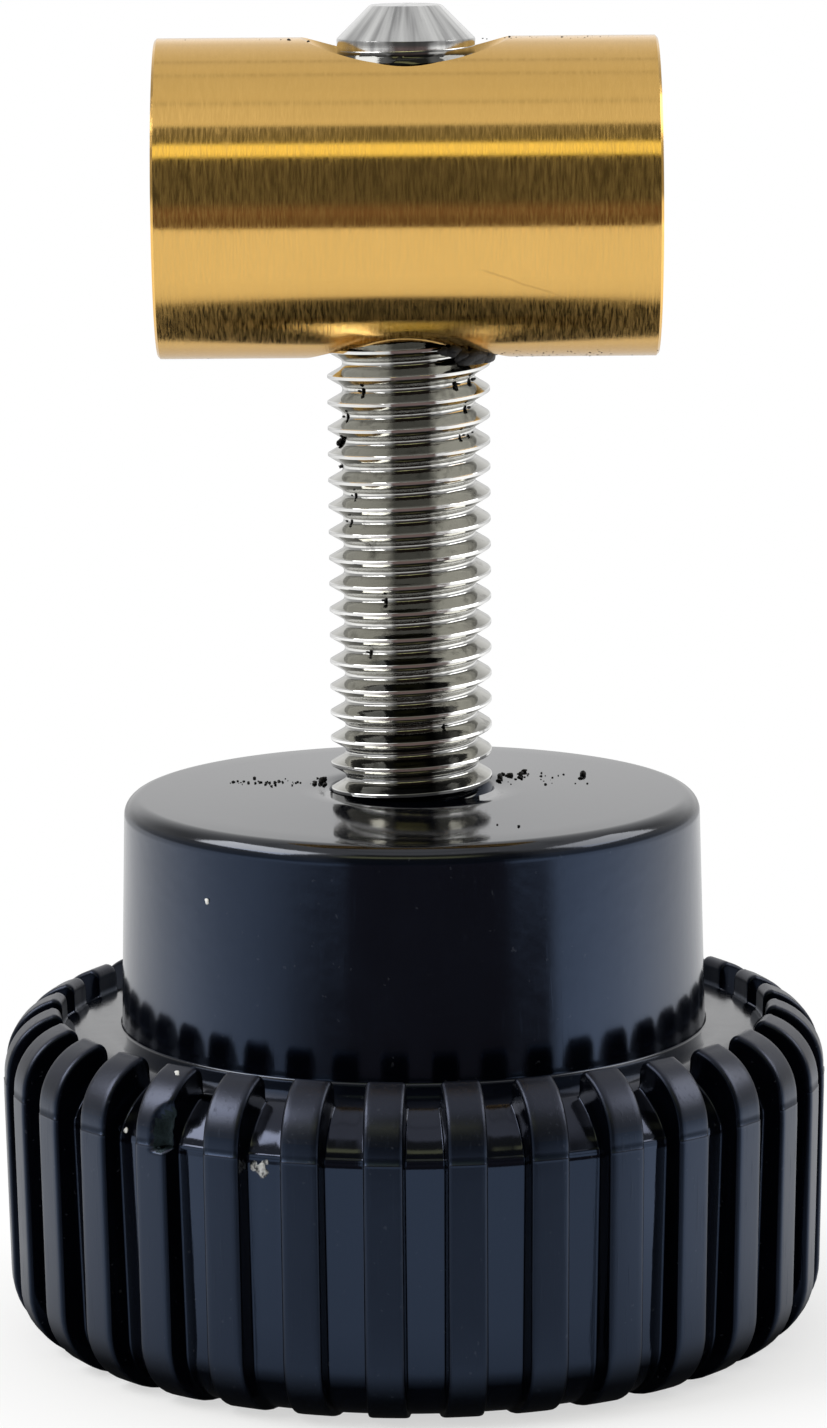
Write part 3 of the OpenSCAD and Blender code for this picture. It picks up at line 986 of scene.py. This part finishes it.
def build_floor():
    """White floor with the object's shadow; distances from the axis are in metres."""
    mesh = bpy.data.meshes.new("floor")
    s = 6.0
    mesh.from_pydata([(-s, -s, 0), (s, -s, 0), (s, s, 0), (-s, s, 0)], [], [(0, 1, 2, 3)])
    floor = link("floor", mesh)
    mat, t, _ = material("pale_floor")
    mesh.materials.append(mat)
    place = t.add("NewGeometry").outputs["Position"]
    far = t.add("VectorMath", {0: place}, operation="LENGTH").outputs["Value"]
    path = t.add("LightPath")
    matte = t.add("BsdfDiffuse", {0: (0.93, 0.93, 0.93, 1)}).outputs[0]
    open_floor = t.greys(far, [(0.019, 0.60), (0.030, 0.88), (0.055, 1.0)])
    camera = t.times(path.outputs["Is Camera Ray"], open_floor)
    shader = t.blend(camera, matte, t.glow((1, 1, 1, 1)))
    # Mirrored in the object, the floor glows: dark where the object stands, a painted shadow, bright beside
    # it, clear further out
    mirrored = t.most(path.outputs["Is Glossy Ray"], path.outputs["Is Transmission Ray"])
    beside = t.greys(far, [(0.0195, 0.02), (0.0230, 0.70), (0.030, 0.90)])
    shader = t.blend(mirrored, shader, t.glow(beside))
    clear = t.times(mirrored, t.mask(far, 0.024, 0.045))
    t.surface(t.blend(clear, shader, t.add("BsdfTransparent").outputs[0]))


def world_pool(t, turn, level):
    """The floor's light at the sides and behind."""
    pool = t.greys(turn, [
        (0.0, 0.64), (0.15, 1.15), (0.22, 1.30), (0.35, 1.30), (0.42, 1.0),
        (0.58, 1.0), (0.66, 1.45), (0.78, 1.55), (0.86, 1.15), (1.0, 0.64),
    ])
    shade = t.greys(level, [(0.425, 1.05), (0.443, 1.30), (0.4475, 1.02), (0.4525, 0.84)])
    return t.multiplied(pool, shade)


def world_sides(t, turn, level):
    """Soft light from the sides and a bright back, above the horizon."""
    sides = t.greys(turn, [
        (0.0, 1.08), (0.06, 1.06), (0.13, 0.55), (0.22, 0.42), (0.40, 0.42),
        (0.64, 0.46), (0.80, 0.46), (0.87, 0.55), (0.94, 1.06), (1.0, 1.08),
    ])
    return t.multiplied(sides, t.greys(level, [
        (0.50, 0.79), (0.54, 0.82), (0.575, 0.97), (0.62, 0.90), (0.67, 0.76),
    ]))


def world_wedge(t, turn, level):
    """How much of a direction belongs to the dark part on the camera's side: low, middle and upper part."""
    low = t.greys(turn, [
        (0.222, 0), (0.314, 0.33), (0.344, 0.5), (0.375, 0.76), (0.408, 1),
        (0.650, 1), (0.666, 0.15), (0.71, 0),
    ])
    middle = t.stripe(turn, 0.424, 0.432, 0.602, 0.612)
    upper = t.stripe(turn, 0.395, 0.425, 0.622, 0.662)
    wedge = t.mix(t.mask(level, 0.4525, 0.4575), low, middle)
    return t.mix(t.mask(level, 0.52, 0.56), wedge, upper)


def world_front(t, turn, level):
    """Dark and brownish on the camera's side, with a yellowish strip light above, dimmer to the right."""
    yellow = (1.36, 1.30, 0.62, 1)
    front = t.ramp(level, [
        (0.404, grey(1.0)), (0.410, (0.12, 0.085, 0.08)), (0.445, (0.14, 0.10, 0.09)),
        (0.467, (0.19, 0.135, 0.13)), (0.49, (0.14, 0.105, 0.10)), (0.515, grey(0.07)), (0.69, grey(0.07)),
        (0.745, (0.14, 0.14, 0.12)), (0.812, (0.17, 0.168, 0.145)), (0.824, grey(0.86)), (0.86, grey(0.78)),
    ])
    strip = t.stripe(level, 0.686, 0.696, 0.738, 0.747)
    strip = t.times(strip, t.greys(turn, [(0.38, 0), (0.42, 1.0), (0.50, 1.0), (0.56, 0.80), (0.60, 0)]))
    return t.mix(strip, front, yellow)


def world_seams(t, turn, level):
    """Two faint darker seams overhead, the lower one only behind."""
    behind = t.greys(turn, [(0.20, 1), (0.25, 0), (0.75, 0), (0.80, 1)])
    seam = t.times(t.stripe(level, 0.820, 0.829, 0.838, 0.847), behind)
    crown = t.stripe(level, 0.909, 0.917, 0.926, 0.934)
    return t.times(t.most(seam, crown), 0.28)


def build_world():
    """A soft white studio: bright floor, back and top, softer sides, dark on the camera's side."""
    world = bpy.data.worlds.new("studio")
    world.use_nodes = True
    bpy.context.scene.world = world
    t = Tree(world.node_tree)
    x, y, z = t.split(t.add("TexCoord").outputs["Generated"])
    turn = t.turn(x, y)
    # Height of the direction: 0 straight down, 0.5 level, 1 straight up
    level = t.plus(t.times(t.math("ARCSINE", z), 1 / math.pi), 0.5)
    wedge, front = world_wedge(t, turn, level), world_front(t, turn, level)
    around = t.mix(t.mask(level, 0.485, 0.505), world_pool(t, turn, level), world_sides(t, turn, level))
    seen = t.mix(wedge, around, front)
    over = t.mix(wedge, grey(0.74), front)
    seen = t.mix(t.mask(level, 0.70, 0.80), seen, over)
    seen = t.mix(world_seams(t, turn, level), seen, grey(0.12))
    # Seen straight by the camera, the world is plain white
    colour = t.mix(t.add("LightPath").outputs["Is Camera Ray"], seen, grey(1.0))
    t.add("OutputWorld", {0: t.add("Background", {0: colour, 1: 1.0}).outputs[0]})


def lamp(name, place, size, watts):
    """A softbox that faces the middle of the object."""
    light = bpy.data.lights.new(name, "AREA")
    light.shape = "RECTANGLE"
    light.size, light.size_y = size
    light.energy = watts
    obj = link(name, light)
    obj.location = place
    obj.rotation_euler = (LAMP_AIM - Vector(place)).to_track_quat("-Z", "Y").to_euler()


def build_camera():
    """The photo's view, looking slightly down, with a small roll."""
    cam = bpy.data.cameras.new("camera")
    cam.lens = LENS
    cam.sensor_width = SENSOR
    obj = link("camera", cam)
    tilt = Matrix.Rotation(math.pi / 2 - CAMERA_DOWN, 4, "X") @ Matrix.Rotation(CAMERA_ROLL, 4, "Z")
    obj.matrix_world = Matrix.Translation(CAMERA_AT) @ tilt
    bpy.context.scene.camera = obj


build_camera()
build_knob(plastic_material(), fracture_material())
build_stud(steel_material())
build_nut(brass_material())
build_dirt_and_glints(grime_material(), dust_and_glint_material(), drop_material())
build_floor()
build_world()
lamp("softbox_left", (-0.429, -0.091, 0.409), (0.45, 0.28), 2.60)
lamp("softbox_right", (0.470, 0.058, 0.370), (0.42, 0.28), 1.35)
bpy.context.scene.view_settings.view_transform = "Standard"
